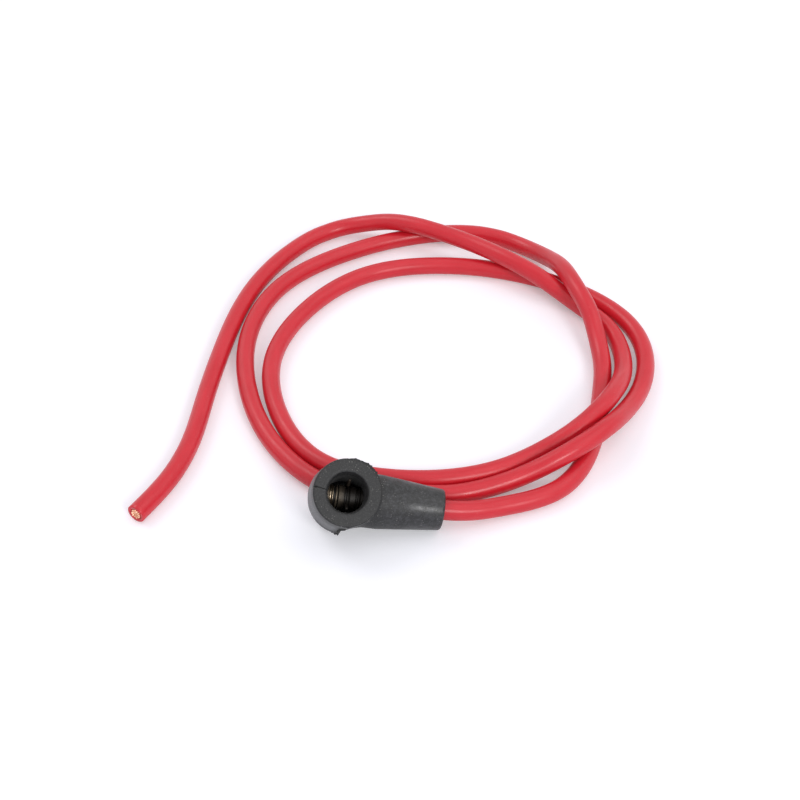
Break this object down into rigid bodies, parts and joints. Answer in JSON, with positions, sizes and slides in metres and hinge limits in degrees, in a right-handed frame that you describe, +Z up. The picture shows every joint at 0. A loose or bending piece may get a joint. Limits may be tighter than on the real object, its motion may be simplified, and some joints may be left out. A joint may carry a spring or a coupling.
{
  "type": "spark plug cap",
  "caption": "Right-angle black rubber spark plug cap with a ribbed metal contact sleeve in its socket, moulded on a red ignition lead that lies in loose turns to a bare cut end.",
  "frame": {"origin": "bottom centre of the cap's own bounding box, without the lead, on the surface that it lies on", "axes": "+X along the neck, seen from above, towards the lead; +Z up; the mouth of the socket leans over towards -Y"},
  "size_m": [0.1932, 0.1872, 0.0301],
  "materials": {
    "rubber": "matt moulded rubber, slightly dusty, satin on the neck",
    "contact_metal": "dull turned metal, tarnished",
    "clip_metal": "dull drawn wire",
    "jacket_red": "satin silicone rubber",
    "copper": "bright stranded copper"
  },
  "bodies": {
    "root": {"rubber_cap": "rubber", "contact_sleeve": "contact_metal", "plug_clip": "clip_metal", "lead_jacket": "jacket_red", "lead_conductor": "copper"}
  },
  "joints": []
}
